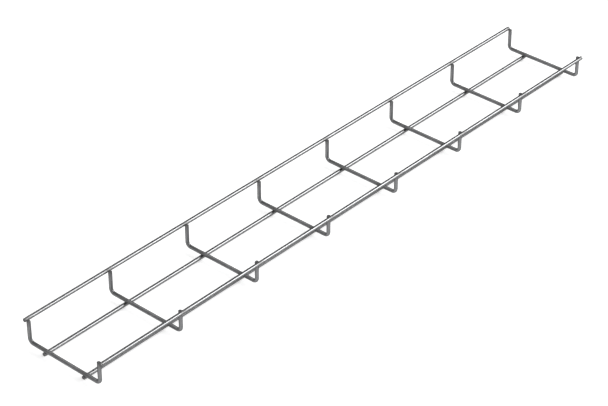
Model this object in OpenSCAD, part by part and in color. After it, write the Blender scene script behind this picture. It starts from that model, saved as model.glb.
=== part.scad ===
// Wire mesh cable basket: a welded mesh of round wire, folded up into a shallow open tray.
// +X runs along the tray and +Z is up. The origin is at mid length, on the floor it lies on.

/* [Wire] */
// Diameter of every wire
wire_d = 3.8; // [3:0.1:6]
// How far two crossing wires sink into each other at their spot weld
weld_set = 0.25; // [0.1:0.05:0.6]
// Width of the chamfer that takes the sharp edge off every cut wire end
edge_break = 0.3; // [0.1:0.1:0.8]

/* [Tray] */
// Overall width, over the outsides of the two rim wires
tray_w = 100; // [90:5:300]
// Overall height, from the underside of the floor wires to the top of the rim wires
tray_h = 30; // [25:1:110]
// How far the cut tops of the cross wires lie below the top of the rim wires
leg_drop = 1.6; // [0:0.1:2.5]
// Centre-line radius of the two bends in each cross wire
bend_r = 4.4; // [3.4:0.1:8]

/* [Mesh] */
// Distance between neighbouring cross wires, centre to centre
cross_pitch = 100; // [40:5:150]
// Number of cross wires
cross_count = 8; // [2:1:12]
// Distance between the two floor wires, centre to centre
floor_gap = 50; // [30:1:60]
// How far the long wires run past the centre lines of the two end cross wires
end_past = 2; // [2:0.5:60]

/* [Hidden] */
$fn = 48;

wire_r = wire_d / 2;
cross_span = cross_pitch * (cross_count - 1);
long_length = cross_span + 2 * end_past;

// Distance between the centre lines of two wires that are welded across each other
seat = wire_d - weld_set;

// Centre lines of the long wires: out from the tray's middle, and up from its underside
rim_y = tray_w / 2 - wire_r;
rim_z = tray_h - wire_r;
floor_y = floor_gap / 2;
floor_z = wire_r;

// A cross wire lies on the floor wires and inside the rim wires.
leg_y = rim_y - seat;
leg_top = tray_h - leg_drop;
cross_z = floor_z + seat;
bend_y = leg_y - bend_r;
bend_z = cross_z + bend_r;

// The side is 1 for the left wires, at +Y, and -1 for the right ones.
left = 1;
right = -1;

// A straight wire along +Z, cut off at its top end, or at both ends
module straight_wire(length, both_cut) {
    top = [[wire_r, length - edge_break], [wire_r - edge_break, length]];
    bottom = both_cut ? [[wire_r - edge_break, 0], [wire_r, edge_break]] : [[wire_r, 0]];
    rotate_extrude()
        polygon(concat([[0, 0]], bottom, top, [[0, length]]));
}

module long_wire(y, z) {
    translate([-long_length / 2, y, z])
        rotate([0, 90, 0])
            straight_wire(long_length, true);
}

module rim_wire(side) {
    long_wire(side * rim_y, rim_z);
}

module floor_wire(side) {
    long_wire(side * floor_y, floor_z);
}

// The +Y half of a formed cross wire: half its floor, one bend and one leg
module cross_wire_half() {
    translate([0, 0, cross_z])
        rotate([-90, 0, 0])
            cylinder(d = wire_d, h = bend_y);
    translate([0, bend_y, bend_z])
        rotate([0, 90, 0])
            rotate_extrude(angle = 90)
                translate([bend_r, 0])
                    circle(d = wire_d);
    translate([0, leg_y, bend_z])
        straight_wire(leg_top - bend_z, false);
}

// A formed cross wire, with a saddle pressed into it where each long wire is welded on
module cross_wire(i) {
    color("dimgray")
        difference() {
            translate([(i - 1) * cross_pitch - cross_span / 2, 0, 0])
                union() {
                    cross_wire_half();
                    mirror([0, 1, 0])
                        cross_wire_half();
                }
            for (side = [left, right]) {
                rim_wire(side);
                floor_wire(side);
            }
        }
}

module rim_wire_left() {
    color("silver")
        rim_wire(left);
}

module rim_wire_right() {
    color("silver")
        rim_wire(right);
}

module floor_wire_left() {
    color("silver")
        floor_wire(left);
}

module floor_wire_right() {
    color("silver")
        floor_wire(right);
}

for (i = [1:cross_count])
    cross_wire(i);
rim_wire_left();
rim_wire_right();
floor_wire_left();
floor_wire_right();
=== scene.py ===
import math
import random

import bpy
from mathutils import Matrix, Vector, noise


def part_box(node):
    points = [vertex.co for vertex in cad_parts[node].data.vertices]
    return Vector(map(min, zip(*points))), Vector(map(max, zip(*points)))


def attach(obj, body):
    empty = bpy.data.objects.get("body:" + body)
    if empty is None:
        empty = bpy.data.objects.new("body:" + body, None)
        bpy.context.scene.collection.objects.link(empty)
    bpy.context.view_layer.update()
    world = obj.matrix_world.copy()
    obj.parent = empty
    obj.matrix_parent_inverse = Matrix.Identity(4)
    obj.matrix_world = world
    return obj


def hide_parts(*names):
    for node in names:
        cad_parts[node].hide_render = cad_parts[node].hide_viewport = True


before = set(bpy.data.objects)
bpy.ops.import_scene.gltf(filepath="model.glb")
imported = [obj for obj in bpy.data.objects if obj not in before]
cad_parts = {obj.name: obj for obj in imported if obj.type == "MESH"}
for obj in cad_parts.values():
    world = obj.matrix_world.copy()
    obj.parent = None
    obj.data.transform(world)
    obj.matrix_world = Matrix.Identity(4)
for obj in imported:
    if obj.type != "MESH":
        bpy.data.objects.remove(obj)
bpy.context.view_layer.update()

random.seed(7)

longNames = ["rim_wire_left", "rim_wire_right", "floor_wire_left", "floor_wire_right"]
crossNames = sorted(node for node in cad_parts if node.startswith("cross_wire_"))
print("frame loaded:", len(longNames), "long wires and", len(crossNames), "cross wires")

# Zinc on smooth drawn wire: the four long wires
drawnZinc = {
    "darkTone": (0.178, 0.18, 0.183),
    "lightTone": (0.255, 0.257, 0.261),
    "edgeTint": (0.12, 0.12, 0.12),  # metal tone at grazing angles
    "streaksAcross": 2600,
    "streaksAlong": 45,
    "mottle": 420,
    "patches": 60,
    "smooth": 0.17,
    "rough": 0.29,
    "bumpDepth": 0.00004,
    "pitDepth": 0.00003,
    "heatTone": (0.185, 0.184, 0.184),
}

# Zinc on the formed cross wires: duller and a little coarser
formedZinc = {
    "darkTone": (0.165, 0.167, 0.171),
    "lightTone": (0.265, 0.267, 0.272),
    "edgeTint": (0.15, 0.15, 0.15),
    "streaksAcross": 2300,
    "streaksAlong": 60,
    "mottle": 480,
    "patches": 75,
    "smooth": 0.3,
    "rough": 0.46,
    "bumpDepth": 0.00005,
    "pitDepth": 0.00004,
    "heatTone": (0.165, 0.164, 0.164),
}

# The metal squeezed out at the spot welds
weldMetal = {
    "darkTone": (0.12, 0.12, 0.122),
    "lightTone": (0.24, 0.241, 0.245),
    "edgeTint": (0.5, 0.5, 0.5),
    "streaksAcross": 1400,
    "streaksAlong": 1400,
    "mottle": 900,
    "patches": 300,
    "smooth": 0.4,
    "rough": 0.62,
    "bumpDepth": 0.00009,
    "pitDepth": 0.00006,
    "heatTone": (0.15, 0.149, 0.148),
}

# Bare grey steel of the sheared faces
cutSteel = {
    "darkTone": (0.15, 0.151, 0.155),
    "lightTone": (0.3, 0.302, 0.308),
    "edgeTint": (0.7, 0.7, 0.7),
    "streaksAcross": 1500,
    "streaksAlong": 1500,
    "mottle": 2500,
    "patches": 600,
    "smooth": 0.42,
    "rough": 0.68,
    "bumpDepth": 0.00008,
    "pitDepth": 0.00008,
    "heatTone": (0.17, 0.17, 0.172),
}


def addNode(tree, kind, **settings):
    # A setting is either one of the node's own or the value of one of its sockets
    node = tree.nodes.new(kind)
    for key, value in settings.items():
        if hasattr(node, key):
            setattr(node, key, value)
        else:
            node.inputs[key.replace("_", " ")].default_value = value
    return node


def wireNoise(tree, across, along, detail):
    # Noise in the space of the straight wire, so that it follows the wire round its bends
    space = addNode(tree, "ShaderNodeAttribute", attribute_name="wireSpace")
    stretch = addNode(tree, "ShaderNodeMapping", Scale=(across, across, along))
    grain = addNode(tree, "ShaderNodeTexNoise", Scale=1.0, Detail=detail, Roughness=0.55)
    tree.links.new(space.outputs["Vector"], stretch.inputs["Vector"])
    tree.links.new(stretch.outputs["Vector"], grain.inputs["Vector"])
    return grain.outputs["Fac"]


def wirePits(tree, scale):
    # 0 over most of the wire and 1 in the middle of each small pit
    space = addNode(tree, "ShaderNodeAttribute", attribute_name="wireSpace")
    stretch = addNode(tree, "ShaderNodeMapping", Scale=(scale, scale, scale * 0.6))
    cells = addNode(tree, "ShaderNodeTexVoronoi", Scale=1.0, Randomness=1.0)
    tree.links.new(space.outputs["Vector"], stretch.inputs["Vector"])
    tree.links.new(stretch.outputs["Vector"], cells.inputs["Vector"])
    return remap(tree, cells.outputs["Distance"], 0.05, 0.28, 1, 0)


def remap(tree, value, fromLow, fromHigh, low, high):
    node = addNode(tree, "ShaderNodeMapRange", From_Min=fromLow, From_Max=fromHigh, To_Min=low, To_Max=high)
    tree.links.new(value, node.inputs["Value"])
    return node.outputs["Result"]


def calculate(tree, operation, first, second):
    node = addNode(tree, "ShaderNodeMath", operation=operation)
    for socket, value in zip(node.inputs, (first, second)):
        if isinstance(value, (int, float)):
            socket.default_value = value
        else:
            tree.links.new(value, socket)
    return node.outputs[0]


def mixTones(tree, factor, first, second):
    node = addNode(tree, "ShaderNodeMix", data_type="RGBA")
    for key, value in (("A", first), ("B", second)):
        if isinstance(value, tuple):
            node.inputs[key].default_value = (*value, 1)
        else:
            tree.links.new(value, node.inputs[key])
    tree.links.new(factor, node.inputs["Factor"])
    return node.outputs["Result"]


# How strongly each part of the pattern shows, alike in all the finishes
pattern = {
    "drift": 0.14,
    "pitDark": 0.35,
    "heatRough": 0.2,
    "lineBump": 0.3,
    "pitBump": 0.4,
}


def metalFinish(name, look):
    material = bpy.data.materials.new(name)
    material.use_nodes = True
    tree = material.node_tree
    shader = tree.nodes["Principled BSDF"]
    streaks = wireNoise(tree, look["streaksAcross"], look["streaksAlong"], 3)
    mottle = wireNoise(tree, look["mottle"], look["mottle"], 4)
    patches = wireNoise(tree, look["patches"], look["patches"], 2)
    pits = wirePits(tree, look["mottle"] * 1.7)
    heat = addNode(tree, "ShaderNodeAttribute", attribute_name="weldHeat").outputs["Fac"]

    # Tone: fine lines along the wire, broken up by the mottle and drifting slowly from place to place
    fine = calculate(tree, "MULTIPLY", streaks, mottle)
    drift = remap(tree, patches, 0.3, 0.7, -pattern["drift"], pattern["drift"])
    tone = calculate(tree, "ADD", remap(tree, fine, 0.12, 0.42, 0, 1), drift)
    zinc = mixTones(tree, tone, look["darkTone"], look["lightTone"])
    pitted = mixTones(tree, calculate(tree, "MULTIPLY", pits, pattern["pitDark"]), zinc, look["darkTone"])
    burnt = calculate(tree, "MULTIPLY", heat, remap(tree, mottle, 0.3, 0.6, 0.45, 1))
    tree.links.new(mixTones(tree, burnt, pitted, look["heatTone"]), shader.inputs["Base Color"])

    dull = calculate(tree, "MULTIPLY", heat, pattern["heatRough"])
    rough = calculate(tree, "ADD", remap(tree, mottle, 0.3, 0.7, look["smooth"], look["rough"]), dull)
    tree.links.new(rough, shader.inputs["Roughness"])

    ridges = addNode(tree, "ShaderNodeBump", Strength=pattern["lineBump"], Distance=look["bumpDepth"])
    tree.links.new(fine, ridges.inputs["Height"])
    dents = addNode(tree, "ShaderNodeBump", Strength=pattern["pitBump"], Distance=look["pitDepth"])
    dents.invert = True
    tree.links.new(pits, dents.inputs["Height"])
    tree.links.new(ridges.outputs["Normal"], dents.inputs["Normal"])
    tree.links.new(dents.outputs["Normal"], shader.inputs["Normal"])
    shader.inputs["Metallic"].default_value = 1
    shader.inputs["Specular Tint"].default_value = (*look["edgeTint"], 1)
    return material


drawnZincSkin = metalFinish("zinc on drawn wire", drawnZinc)
formedZincSkin = metalFinish("zinc on formed wire", formedZinc)
weldSkin = metalFinish("weld metal", weldMetal)
cutFace = metalFinish("sheared steel", cutSteel)
print("finishes made")

# Where every cross wire is welded to every long wire
weldSet = {
    "flatLength": 0.0035,  # half the length of the flat that an electrode leaves
    "flatDepth": 0.00014,
    "heatCore": 0.0014,  # fully dulled this far from the middle of the weld
    "heatReach": 0.0042,
}


def findWelds():
    found = []
    for longNode in longNames:
        longLow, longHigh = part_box(longNode)
        longAxis = (longLow + longHigh) / 2
        for crossNode in crossNames:
            low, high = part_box(crossNode)
            radius = (high.x - low.x) / 2
            x = (low.x + high.x) / 2
            side = 1 if longAxis.y > 0 else -1
            if longNode.startswith("rim"):
                crossAxis = Vector((x, side * (high.y - radius), longAxis.z))
                alongCross = Vector((0, 0, 1))
            else:
                crossAxis = Vector((x, longAxis.y, low.z + radius))
                alongCross = Vector((0, 1, 0))
            onLong = Vector((x, longAxis.y, longAxis.z))
            found.append({
                "long": longNode, "cross": crossNode,
                "onLong": onLong, "onCross": crossAxis,
                "toLong": (onLong - crossAxis).normalized(),
                "alongLong": Vector((1, 0, 0)), "alongCross": alongCross,
                # Room before the cut top of the cross wire, which ends just over the rim weld
                "room": high.z - longAxis.z if alongCross.z else radius,
                "radius": min(longHigh - longLow) / 2,
            })
    return found


welds = findWelds()
print("spot welds found:", len(welds))

# How finely the wires are drawn, and how they are bent and cut
wireMesh = {
    "sides": 32,
    "ringGap": 0.004,
    "weldRingGap": 0.0005,
    "bendRings": 18,
}
bend = {"radius": 0.0044, "flatten": 0.035}
shearedEnd = {
    "rollOver": 0.0005,  # on the side where the blade went in
    "rollLeast": 0.0001,
    "rollRings": 5,
    "slope": 0.00035,  # how far the face leans from one side to the other
    "torn": 0.00006,
    "faceRings": 5,
}


def straightRun(start, end, marks):
    # Places along a straight wire, closer together near its welds
    length = (end - start).length
    direction = (end - start) / length
    coarse = max(1, math.ceil(length / wireMesh["ringGap"]))
    places = [length * k / coarse for k in range(coarse + 1)]
    fineGap = wireMesh["weldRingGap"]
    reach = weldSet["flatLength"] * 1.3
    for mark in marks:
        middle = (mark - start).dot(direction)
        steps = round(reach / fineGap)
        places = [p for p in places if abs(p - middle) > reach or p in (0, length)]
        places += [middle + fineGap * k for k in range(-steps, steps + 1)]
    places = sorted(p for p in places if 0 <= p <= length)
    kept = [places[0]]
    for place in places[1:]:
        if place - kept[-1] > fineGap * 0.4:
            kept.append(place)
    kept[-1] = length
    return [(start + direction * place, direction, 0.0) for place in kept]


def cornerRun(centre, fromAngle, toAngle):
    # An arc in the YZ plane, with angles from +Y towards +Z, and the section flattened in mid bend
    places = []
    count = wireMesh["bendRings"]
    turn = 1 if toAngle > fromAngle else -1
    for k in range(1, count):
        angle = fromAngle + (toAngle - fromAngle) * k / count
        outward = Vector((0, math.cos(angle), math.sin(angle)))
        tangent = Vector((0, -math.sin(angle), math.cos(angle))) * turn
        places.append((centre + outward * bend["radius"], tangent, math.sin(math.pi * k / count)))
    return places


def pressFlats(spot, flats, radius):
    # Presses in the flats that the welding electrodes leave, opposite each weld
    length = weldSet["flatLength"]
    for centre, away, along in flats:
        offset = spot - centre
        reach = abs(offset.dot(along)) / length
        if reach < 1 and offset.length < length + radius:
            limit = radius - weldSet["flatDepth"] * (1 - reach ** 3)
            spot = spot - away * max(0, offset.dot(away) - limit)
    return spot


def cutEnd(centre, outward, side, up, radius):
    # Rings from the full wire to the middle of a sheared face, and where each lies along the wire
    around = [2 * math.pi * j / wireMesh["sides"] for j in range(wireMesh["sides"])]
    blade = random.uniform(0, 2 * math.pi)
    shift = Vector((random.uniform(0, 50), random.uniform(0, 50), 0))
    rollRings, faceRings = shearedEnd["rollRings"], shearedEnd["faceRings"]
    rolls = []
    for a in around:
        bite = (0.5 + 0.5 * math.cos(a - blade)) ** 1.5
        rolls.append(shearedEnd["rollLeast"] + (shearedEnd["rollOver"] - shearedEnd["rollLeast"]) * bite)
    rings = []
    for k in range(rollRings + faceRings):
        ring = []
        for a, roll in zip(around, rolls):
            if k <= rollRings:
                turn = math.pi / 2 * k / rollRings
                reach = radius - roll * (1 - math.cos(turn))
                sunk = roll * (1 - math.sin(turn))
            else:
                reach = (radius - roll) * (1 - (k - rollRings) / faceRings)
                sunk = 0
            flat = side * math.cos(a) + up * math.sin(a)
            lean = shearedEnd["slope"] * 0.5 * (1 + reach / radius * math.cos(a - blade))
            if k >= rollRings:
                grain = noise.noise(flat * reach * 2200 + shift)
                grain += 0.5 * noise.noise(flat * reach * 5200 + shift)
                sunk += shearedEnd["torn"] * (0.75 + 0.5 * grain)
            ring.append(centre + flat * reach - outward * (lean + sunk))
        rings.append(ring)
    middle = centre - outward * (shearedEnd["slope"] * 0.5 + shearedEnd["torn"])
    return rings, middle


def sweepWire(name, places, side, radius, skin, nodeWelds, flats):
    # side is a fixed direction square to the whole path
    sides = wireMesh["sides"]
    rings = []
    marks = []
    along = 0.0
    ups = []
    for k, (point, tangent, oval) in enumerate(places):
        if k:
            along += (point - places[k - 1][0]).length
        up = tangent.cross(side).normalized()
        ups.append(up)
        flatter, wider = 1 - bend["flatten"] * oval, 1 + bend["flatten"] * 0.4 * oval
        ring = []
        for j in range(sides):
            a = 2 * math.pi * j / sides
            spot = point + side * (math.cos(a) * radius * wider) + up * (math.sin(a) * radius * flatter)
            ring.append(pressFlats(spot, flats, radius))
        rings.append(ring)
        marks.append(along)

    # The two cut ends take the place of the outermost rings
    startRings, startMiddle = cutEnd(places[0][0], -places[0][1], side, ups[0], radius)
    endRings, endMiddle = cutEnd(places[-1][0], places[-1][1], side, ups[-1], radius)
    clear = shearedEnd["rollOver"] + shearedEnd["slope"] + 0.0002
    body = [(ring, mark) for ring, mark in zip(rings, marks) if clear < mark < along - clear]
    allRings = [(ring, 0.0) for ring in reversed(startRings)] + body + [(ring, along) for ring in endRings]

    verts = [spot for ring, mark in allRings for spot in ring] + [startMiddle, endMiddle]
    lines = []
    for ring, mark in allRings:
        for j in range(sides):
            a = 2 * math.pi * j / sides
            lines.append((radius * math.cos(a), radius * math.sin(a), mark))
    lines += [(0, 0, 0), (0, 0, along)]

    faces = []
    cut = []
    faceRings = shearedEnd["faceRings"] - 1
    for k in range(len(allRings) - 1):
        isCut = k < faceRings or k >= len(allRings) - 1 - faceRings
        for j in range(sides):
            after = (j + 1) % sides
            faces.append((k * sides + j, k * sides + after, (k + 1) * sides + after, (k + 1) * sides + j))
            cut.append(isCut)
    lastRing = (len(allRings) - 1) * sides
    for j in range(sides):
        after = (j + 1) % sides
        faces.append((after, j, len(verts) - 2))
        faces.append((lastRing + j, lastRing + after, len(verts) - 1))
        cut += [True, True]

    heat = []
    for spot in verts:
        nearest = min((spot - weld["onLong"].lerp(weld["onCross"], 0.5)).length for weld in nodeWelds)
        heat.append(math.exp(-(max(0, nearest - weldSet["heatCore"]) / weldSet["heatReach"]) ** 2))
    return makePiece(name, verts, faces, [skin, cutFace], cut, lines, heat)


def makePiece(name, verts, faces, materials, second, lines, heat):
    mesh = bpy.data.meshes.new(name)
    mesh.from_pydata([tuple(spot) for spot in verts], [], faces)
    for material in materials:
        mesh.materials.append(material)
    for face, isSecond in zip(mesh.polygons, second):
        face.material_index = 1 if isSecond else 0
        face.use_smooth = not isSecond
    space = mesh.attributes.new("wireSpace", "FLOAT_VECTOR", "POINT")
    space.data.foreach_set("vector", [value for line in lines for value in line])
    warm = mesh.attributes.new("weldHeat", "FLOAT", "POINT")
    warm.data.foreach_set("value", heat)
    piece = bpy.data.objects.new(name, mesh)
    bpy.context.scene.collection.objects.link(piece)
    return piece


def longWire(node):
    low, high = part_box(node)
    radius = (high.z - low.z) / 2
    middle = (low + high) / 2
    start = Vector((low.x, middle.y, middle.z))
    end = Vector((high.x, middle.y, middle.z))
    nodeWelds = [weld for weld in welds if weld["long"] == node]
    flats = [(weld["onLong"], weld["toLong"], weld["alongLong"]) for weld in nodeWelds]
    places = straightRun(start, end, [weld["onLong"] for weld in nodeWelds])
    return sweepWire(node + "_drawn", places, Vector((0, 1, 0)), radius, drawnZincSkin, nodeWelds, flats)


def crossWire(node):
    low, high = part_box(node)
    radius = (high.x - low.x) / 2
    x = (low.x + high.x) / 2
    left, right = high.y - radius, low.y + radius
    floorZ = low.z + radius
    r = bend["radius"]
    nodeWelds = [weld for weld in welds if weld["cross"] == node]
    flats = [(weld["onCross"], -weld["toLong"], weld["alongCross"]) for weld in nodeWelds]
    rims = {weld["long"]: weld["onCross"] for weld in nodeWelds}
    leftLeg = [Vector((x, left, high.z)), Vector((x, left, floorZ + r))]
    floorPart = [Vector((x, left - r, floorZ)), Vector((x, right + r, floorZ))]
    rightLeg = [Vector((x, right, floorZ + r)), Vector((x, right, high.z))]
    places = straightRun(*leftLeg, [rims["rim_wire_left"]])
    places += cornerRun(Vector((x, left - r, floorZ + r)), 0, -math.pi / 2)
    places += straightRun(*floorPart, [rims["floor_wire_left"], rims["floor_wire_right"]])
    places += cornerRun(Vector((x, right + r, floorZ + r)), -math.pi / 2, -math.pi)
    places += straightRun(*rightLeg, [rims["rim_wire_right"]])
    return sweepWire(node + "_formed", places, Vector((1, 0, 0)), radius, formedZincSkin, nodeWelds, flats)


for node in longNames:
    piece = longWire(node)
    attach(piece, "root")
    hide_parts(node)
print("long wires drawn")

for node in crossNames:
    piece = crossWire(node)
    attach(piece, "root")
    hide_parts(node)
print("cross wires formed")

# The collar of metal squeezed out round each weld, where the two wires meet
collar = {
    "reach": 0.00172,  # how far it spreads from the middle of the weld
    "waist": 0.00132,
    "ragged": 0.09,
    "inner": 0.0006,
    "around": 40,
    "across": 9,
    "skirt": 0.00005,  # how deep its edges are sunk into the wires
}


def wireTop(radius, across):
    # Height of a round wire's surface over its axis
    return math.sqrt(max(0, radius ** 2 - across ** 2))


def weldCollar(weld, verts, faces, lines):
    radius = weld["radius"]
    toLong, alongLong, alongCross = weld["toLong"], weld["alongLong"], weld["alongCross"]
    half = (weld["onLong"] - weld["onCross"]).length / 2
    middle = weld["onLong"].lerp(weld["onCross"], 0.5)
    shift = Vector((random.uniform(0, 50), random.uniform(0, 50), random.uniform(0, 50)))
    room = weld["room"] - collar["skirt"] * 3
    count = collar["around"]
    steps = collar["across"]
    base = len(verts)
    for k in range(count):
        angle = 2 * math.pi * k / count
        ray = Vector((math.cos(angle), math.sin(angle), 0))
        ragged = 1 + collar["ragged"] * noise.noise(ray * 1.6 + shift)
        ripple = 1 + collar["ragged"] * 0.6 * noise.noise(ray * 5 + shift)
        for step in range(steps + 2):
            if step <= steps:
                # Across the outside, from the cross wire up to the long wire, drawn in at the waist
                part = step / steps
                drawnIn = math.sin(math.pi * part) ** 0.8
                reach = collar["reach"] * ragged
                reach += (collar["waist"] * ripple - reach) * drawnIn
            if step == steps + 1:
                u, v = ray.x * collar["inner"], min(ray.y * collar["inner"], room)
                height = 0
            else:
                u, v = ray.x * reach, min(ray.y * reach, room)
                lower = -half + wireTop(radius, u) - collar["skirt"]
                upper = half - wireTop(radius, v) + collar["skirt"]
                height = lower + (upper - lower) * part
            verts.append(middle + alongLong * u + alongCross * v + toLong * height)
            lines.append((u, v, height))
    loop = steps + 2
    for k in range(count):
        nextK = (k + 1) % count
        for step in range(loop):
            nextStep = (step + 1) % loop
            faces.append((
                base + k * loop + step, base + nextK * loop + step,
                base + nextK * loop + nextStep, base + k * loop + nextStep,
            ))


for node in longNames:
    verts, faces, lines = [], [], []
    for weld in welds:
        if weld["long"] == node:
            weldCollar(weld, verts, faces, lines)
    heat = [1.0] * len(verts)
    piece = makePiece(node + "_welds", verts, faces, [weldSkin], [False] * len(faces), lines, heat)
    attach(piece, "root")
print("weld collars made")

stage = {
    "size": 12,
    "sunk": 0.0002,
    "colour": (0.75, 0.75, 0.75),
    "lift": 0.52,  # glow that only the camera and mirror-like surfaces see
}
floorMesh = bpy.data.meshes.new("paleFloor")
half = stage["size"] / 2
corners = [(-half, -half, 0), (half, -half, 0), (half, half, 0), (-half, half, 0)]
floorMesh.from_pydata(corners, [], [(0, 1, 2, 3)])
paleFloor = bpy.data.objects.new("paleFloor", floorMesh)
paleFloor.location.z = -stage["sunk"]
bpy.context.scene.collection.objects.link(paleFloor)
floorPaint = bpy.data.materials.new("pale floor")
floorPaint.use_nodes = True
floorMesh.materials.append(floorPaint)
floorTree = floorPaint.node_tree
floorShader = floorTree.nodes["Principled BSDF"]
floorShader.inputs["Base Color"].default_value = (*stage["colour"], 1)
floorShader.inputs["Roughness"].default_value = 0.9
path = addNode(floorTree, "ShaderNodeLightPath")
seen = calculate(floorTree, "ADD", path.outputs["Is Camera Ray"], path.outputs["Is Glossy Ray"])
seen = calculate(floorTree, "ADD", seen, path.outputs["Is Transmission Ray"])
glow = calculate(floorTree, "MULTIPLY", seen, stage["lift"])
floorShader.inputs["Emission Color"].default_value = (1, 1, 1, 1)
floorTree.links.new(glow, floorShader.inputs["Emission Strength"])

# The room is pale low down and greyer higher up
surround = {"low": 0.75, "high": 0.38, "blendHeight": 0.35}
world = bpy.data.worlds.new("studio")
bpy.context.scene.world = world
world.use_nodes = True
room = world.node_tree
background = room.nodes["Background"]
background.inputs["Color"].default_value = (1, 1, 1, 1)
outward = addNode(room, "ShaderNodeTexCoord")
parts = addNode(room, "ShaderNodeSeparateXYZ")
room.links.new(outward.outputs["Generated"], parts.inputs[0])
level = remap(room, parts.outputs["Z"], 0, surround["blendHeight"], surround["low"], surround["high"])
room.links.new(level, background.inputs["Strength"])

# Softboxes stand on a sphere round the middle of the tray; angles in degrees, sizes in metres
softboxes = {
    "sideSoftbox": {
        "azimuth": -41.6, "elevation": 33.8, "distance": 4,
        "width": 2.7, "height": 2, "radiance": 7.5,
    },
    "topSoftbox": {
        "azimuth": 75, "elevation": 58, "distance": 4,
        "width": 2.7, "height": 2, "radiance": 1.6,
    },
    "backSoftbox": {
        "azimuth": 186, "elevation": 48, "distance": 4,
        "width": 2.4, "height": 1.6, "radiance": 1.6,
    },
}


def addSoftbox(name, box):
    azimuth, elevation = math.radians(box["azimuth"]), math.radians(box["elevation"])
    flat = math.cos(elevation)
    direction = Vector((math.cos(azimuth) * flat, math.sin(azimuth) * flat, math.sin(elevation)))
    lamp = bpy.data.lights.new(name, "AREA")
    lamp.shape = "RECTANGLE"
    lamp.size = box["width"]
    lamp.size_y = box["height"]
    lamp.energy = box["radiance"] * math.pi * box["width"] * box["height"]
    holder = bpy.data.objects.new(name, lamp)
    holder.location = direction * box["distance"]
    holder.rotation_euler = (-direction).to_track_quat("-Z", "Y").to_euler()
    bpy.context.scene.collection.objects.link(holder)


for name, box in softboxes.items():
    addSoftbox(name, box)
print("stage and lamps set")

view = {
    "azimuth": 41.64,  # the way the camera looks, from +X
    "drop": 33.77,
    "distance": 2.1529,
    "aim": (-0.0174, 0.0154, 0.0),
    "lens": 130.8,
    "sensor": 36,
}
azimuth, drop = math.radians(view["azimuth"]), math.radians(view["drop"])
forward = Vector((math.cos(azimuth) * math.cos(drop), math.sin(azimuth) * math.cos(drop), -math.sin(drop)))
camera = bpy.data.objects.new("camera", bpy.data.cameras.new("camera"))
camera.data.lens = view["lens"]
camera.data.sensor_width = view["sensor"]
camera.location = Vector(view["aim"]) - forward * view["distance"]
camera.rotation_euler = forward.to_track_quat("-Z", "Y").to_euler()
bpy.context.scene.collection.objects.link(camera)
bpy.context.scene.camera = camera
bpy.context.scene.view_settings.view_transform = "Standard"
print("camera set")
